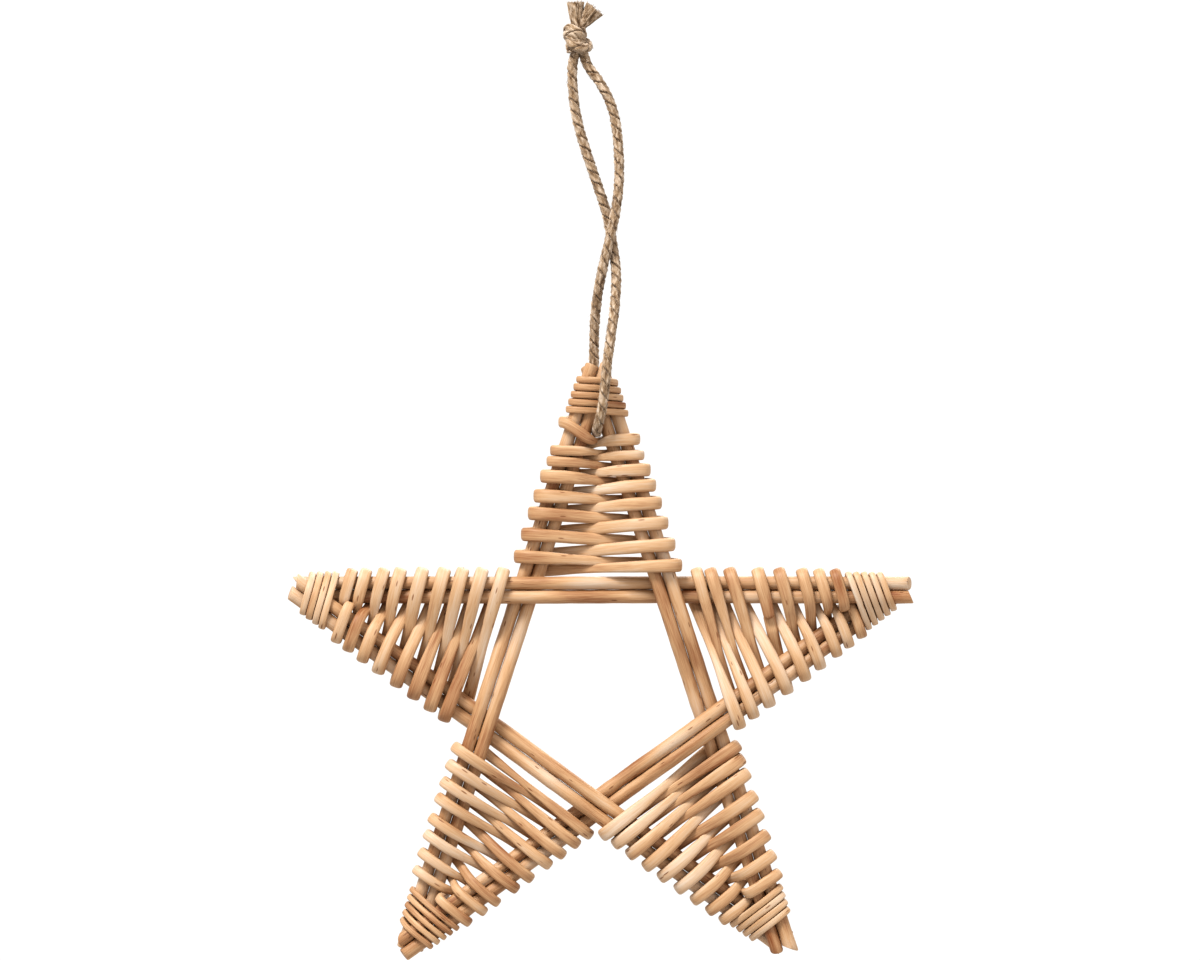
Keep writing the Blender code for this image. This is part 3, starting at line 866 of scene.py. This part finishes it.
# The places of the loops, as shares of the way from the tip wraps to the arm's base
LOOP_SHARES = {
    "top": [
        0.030, 0.127, 0.193, 0.220, 0.255, 0.305, 0.342, 0.394, 0.456,
        0.496, 0.557, 0.611, 0.679, 0.736, 0.807, 0.856,
    ],
    "right": [
        0.010, 0.047, 0.096, 0.136, 0.179, 0.228, 0.293, 0.351, 0.396,
        0.468, 0.519, 0.622, 0.640, 0.727, 0.747, 0.803, 0.842,
    ],
    "lower_right": [
        0.012, 0.049, 0.103, 0.158, 0.208, 0.274, 0.318, 0.397, 0.434,
        0.502, 0.540, 0.633, 0.654, 0.721, 0.755, 0.799, 0.841,
    ],
    "lower_left": [
        0.023, 0.085, 0.125, 0.186, 0.212, 0.290, 0.339, 0.384, 0.437,
        0.503, 0.561, 0.597, 0.655, 0.698, 0.753, 0.798, 0.841,
    ],
    "left": [
        0.042, 0.078, 0.117, 0.156, 0.211, 0.250, 0.299, 0.353, 0.416,
        0.471, 0.532, 0.583, 0.631, 0.692, 0.734, 0.785, 0.847,
    ],
}
# Where a shoot ran out and the next one took over: from the tip crossing, and across the arm
SPLICES = {"right": (0.0502, -0.0032)}
# Each arm's shoot against the common width: they grew to different thicknesses
FULLER = {"top": 1.06, "right": 1.00, "lower_right": 1.05, "lower_left": 0.89, "left": 1.06}
THICKER = 0.0005  # so that the weavers press on the rods
UNEVEN_SLOW = 0.035
UNEVEN_QUICK = 0.02
QUICKER = 2.7
WEAVER_SIDES = 20
WEAVER_STEP = 0.00055
BOXY = 3.0  # how square the flattened section is: 2 is an oval
LOOP_SPREAD = 0.04  # how far a loop leans down the arm, as a share of its step
BEND_STEP = 0.1
END_ROUND = 0.0016
SPLIT_TONE = 0.4  # one face is paler: it lies outward on one side of an arm only
SPLIT_EDGE = 1.6
DRIFT_TONE = 0.45
SPLICE_REACH = 0.0006  # how near across the arm a point has to be to be cut
SPLICE_OVERLAP = 5  # in points of the line, as the next two are
SPLICE_LIFTED = 16
SPLICE_SUNK = 14
SPLICE_LIFT = 0.0007  # the old shoot's end stands forward, the new one's goes under it
SPLICE_SINK = 0.0026


def pair_at(t, side):
    """Middle of an arm's pair of rods at t from the tip crossing: across it, and in depth."""
    depth = -side * layer_depth(LINE_HALF - t / math.cos(HALF_TIP))
    return side * t * math.sin(HALF_TIP), depth


def reach(share):
    """From a rod's middle to the middle of a weaver that has share of its full size."""
    return ROD_RADIUS + WEAVER_GAP + share * WEAVER_THICKNESS / 2


def loop_corners(t, side, share, spread):
    """Three corners round the outer rod of a pair, from behind it to its front."""
    corners = []
    for turn in (1, 0, -1):
        place = t - turn * spread
        across, depth = pair_at(place, side)
        angle = turn * math.pi / 3
        radius = reach(share) / math.cos(math.pi / 6)
        across += side * (ROD_PITCH / 2 + radius * math.cos(angle))
        corners.append((place, across, depth + radius * math.sin(angle), share))
    return corners


def crossing_corners(t_near, t_far, side, share, slim):
    """The corners in front of the near pair, half way across, and behind the far pair."""
    radius = reach(share)
    near, near_depth = pair_at(t_near, side)
    far, far_depth = pair_at(t_far, -side)
    near -= side * ROD_PITCH / 2
    far += side * ROD_PITCH / 2
    gap = side * (near - far)
    apart = math.hypot(gap, far_depth - near_depth)
    dive = math.atan2(far_depth - near_depth, gap) + math.asin(min(1, 2 * radius / apart))
    shift = side * radius * math.tan(dive / 2)
    first = (t_near, near - shift, near_depth - radius, share)
    last = (t_far, far + shift, far_depth + radius, share)
    middle = [(a + b) / 2 for a, b in zip(first, last)]
    return [first, (*middle[:3], slim), last]


def wrap_corners(t, side):
    """One turn round both pairs, which lie one behind the other at the tip."""
    radius = reach(WRAP_SHARE)

    def outer(place, at, turn):
        across, depth = pair_at(place, at)
        across += at * ROD_PITCH / 2
        slope = math.atan2(2 * abs(depth), 2 * place * math.sin(HALF_TIP))
        step = (math.pi - slope) / 2
        normal = slope - math.pi / 2 + step * turn
        out = radius / math.cos(step / 2)
        return (
            place,
            across + at * out * math.cos(normal),
            depth + at * out * math.sin(normal),
            WRAP_SHARE,
        )

    def inner(place, at):
        across, depth = pair_at(place, at)
        across -= at * ROD_PITCH / 2
        slope = math.atan2(2 * abs(depth), 2 * place * math.sin(HALF_TIP))
        shift = radius * math.tan(slope / 2)
        return (place, across - at * shift, depth + at * radius, WRAP_SHARE)

    pitch = WRAP_PITCH
    if side < 0:
        return [
            outer(t - 0.05 * pitch, -1, 0.5),
            outer(t + 0.05 * pitch, -1, 1.5),
            inner(t + 0.20 * pitch, -1),
            outer(t + 0.45 * pitch, 1, 0.5),
            outer(t + 0.55 * pitch, 1, 1.5),
            inner(t + 0.70 * pitch, 1),
        ]
    return [
        outer(t - 0.05 * pitch, 1, 1.5),
        outer(t + 0.05 * pitch, 1, 0.5),
        inner(t + 0.30 * pitch, -1),
        outer(t + 0.45 * pitch, -1, 1.5),
        outer(t + 0.55 * pitch, -1, 0.5),
        inner(t + 0.80 * pitch, 1),
    ]


def weaver_path(arm):
    """Corners (t, across, depth, share of full size) of one arm's weaver, tip to base."""
    _, first_side, wraps, first_wrap = ARMS[arm]
    clear_to = 0.0
    if arm == "top":
        clear_to = TWINE_HOLE + TWINE_DIAMETER / 2 + TWINE_GAP + TWINE_ROOM
    corners = []
    for turn in range(wraps):
        corners += wrap_corners(first_wrap + turn * WRAP_PITCH, first_side)
    wrapped = first_wrap + wraps * WRAP_PITCH
    places = [wrapped + share * (ARM_LENGTH - wrapped) for share in LOOP_SHARES[arm]]
    places.append(places[-1] + LAST_STEP)
    beside = [b - a - STRAND_GAP for a, b in zip(places[:-1], places[2:-1])]
    nears = [max(a + NEAR_SHARE * (b - a), clear_to) for a, b in zip(places, places[1:])]
    fars = [max(a + FAR_SHARE * (b - a), clear_to) for a, b in zip(places, places[1:])]
    middles = [(near + far) / 2 for near, far in zip(nears, fars)]
    for i, (place, near, far) in enumerate(zip(places, nears, fars)):
        side = first_side * (-1) ** i
        full = SLIM_SHARE + (1 - SLIM_SHARE) * min(1, place / FULL_WIDTH_AT)
        full = min(full, *(width / WEAVER_WIDTH for width in beside[max(0, i - 2) : i + 1]))
        neighbours = middles[max(0, i - 1) : i + 2]
        room = min(b - a for a, b in zip(neighbours, neighbours[1:]))
        slim = min(full, (room * ROOM_SHARE - STRAND_GAP) / WEAVER_WIDTH)
        corners += loop_corners(place, side, full, LOOP_SPREAD * (places[i + 1] - place))
        corners += crossing_corners(near, far, side, full, slim)
    across, depth = pair_at(far, -side)
    corners.append((far, across - side * ROD_PITCH / 2, depth + reach(full), full))
    return np.array(corners)


def bent_line(corners, spacing):
    """A smooth line that stays inside its corners and touches the middle of each edge."""
    middles = (corners[:-1] + corners[1:]) / 2
    fine = [corners[0]]
    for before, corner, after in zip(middles, corners[1:-1], middles[1:]):
        for x in np.arange(0, 1, BEND_STEP):
            fine.append((1 - x) ** 2 * before + 2 * x * (1 - x) * corner + x * x * after)
    fine = np.array([*fine, middles[-1], corners[-1]])
    step = np.linalg.norm(np.diff(fine[:, :3], axis=0), axis=1)
    run = np.concatenate([[0], np.cumsum(step)])
    spots = np.linspace(0, run[-1], round(run[-1] / spacing) + 1)
    return np.stack([np.interp(spots, run, column) for column in fine.T], axis=1), spots


def weaver_mesh(points, run, fuller, seed):
    """The flattened shoot along its bent line, its width lying along the arm."""
    pick = np.random.default_rng(seed)
    line = np.stack([points[:, 1] / math.cos(HALF_TIP), points[:, 2], -points[:, 0]], axis=1)
    share = points[:, 3]
    forward = unit(np.gradient(line, axis=0))
    arm_way = np.array([0, 0, 1.0])
    wide_way = unit(arm_way - forward * (forward @ arm_way)[:, None])
    out_way = np.cross(forward, wide_way)
    slow = UNEVEN_SLOW * drift(run, seed + 1)
    quick = UNEVEN_QUICK * drift(run * QUICKER, seed + 2)
    unevenness = 1 + slow + quick
    half_width = share * WEAVER_WIDTH / 2 * fuller * unevenness
    half_thick = share * (WEAVER_THICKNESS + THICKER) / 2 / unevenness
    for end in (run, run[-1] - run):
        rounded = np.sqrt(np.clip(1 - (1 - np.clip(end / END_ROUND, 0, 1)) ** 2, 0.02, 1))
        half_width = half_width * rounded
        half_thick = half_thick * rounded
    angles = np.arange(WEAVER_SIDES) * math.tau / WEAVER_SIDES
    wide = np.sign(np.cos(angles)) * np.abs(np.cos(angles)) ** (2 / BOXY)
    out = np.sign(np.sin(angles)) * np.abs(np.sin(angles)) ** (2 / BOXY)
    rings = (
        line[:, None]
        + (half_width[:, None] * wide[None, :])[:, :, None] * wide_way[:, None]
        + (half_thick[:, None] * out[None, :])[:, :, None] * out_way[:, None]
    )
    corners, faces = tube_mesh(rings)
    grain = np.stack(
        [
            half_width[:, None] * wide[None, :],
            half_thick[:, None] * out[None, :],
            np.repeat(run[:, None], WEAVER_SIDES, axis=1),
        ],
        axis=2,
    ).reshape(-1, 3)
    grain = np.vstack([grain, [0, 0, 0], [0, 0, run[-1]]]) + pick.uniform(0, 9, 3)
    split_face = np.clip(-SPLIT_EDGE * out, -1, 1)
    shade = drift(run, seed)[:, None] * DRIFT_TONE + SPLIT_TONE * split_face[None, :]
    shade = np.concatenate([shade.ravel(), [0, 0]])
    return corners, faces, grain, shade


def spliced(points, run, place, across):
    """Two shoots for one: the first ends in front at place, and the next begins under it."""
    near = np.abs(points[:, 1] - across) < SPLICE_REACH
    cut = int(np.argmax(near & (points[:, 0] > place) & (points[:, 2] < 0)))
    start = cut - SPLICE_OVERLAP
    first = points[:cut].copy()
    second = points[start:].copy()
    first[-SPLICE_LIFTED:, 2] -= np.linspace(0, SPLICE_LIFT, SPLICE_LIFTED)
    second[:SPLICE_SUNK, 2] += np.linspace(SPLICE_SINK, 0, SPLICE_SUNK)
    return [(first, run[:cut]), (second, run[start:] - run[start])]


weaver_willow = willow_material(
    "flattened willow weaver",
    dark=(0.20, 0.069, 0.020),
    middle=(0.460, 0.292, 0.166),
    pale=(0.555, 0.450, 0.355),
    scar=(0.18, 0.07, 0.025),
)
for number, (arm, (angle, *_)) in enumerate(ARMS.items()):
    shoots = [bent_line(weaver_path(arm), WEAVER_STEP)]
    if arm in SPLICES:
        shoots = spliced(*shoots[0], *SPLICES[arm])
    seed = 70 + 5 * number
    parts = [
        weaver_mesh(points, run, FULLER[arm], seed=seed + 50 * i)
        for i, (points, run) in enumerate(shoots)
    ]
    weaver = make_piece(f"willow_weaver_{arm}", parts, weaver_willow)
    turn = Matrix.Rotation(math.radians(angle), 4, "Y")
    tip = STAR_CENTRE + turn @ Vector((0, 0, TIP_FROM_CENTRE))
    weaver.data.transform(Matrix.Translation(tip) @ turn)
    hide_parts(f"weaver_{arm}")
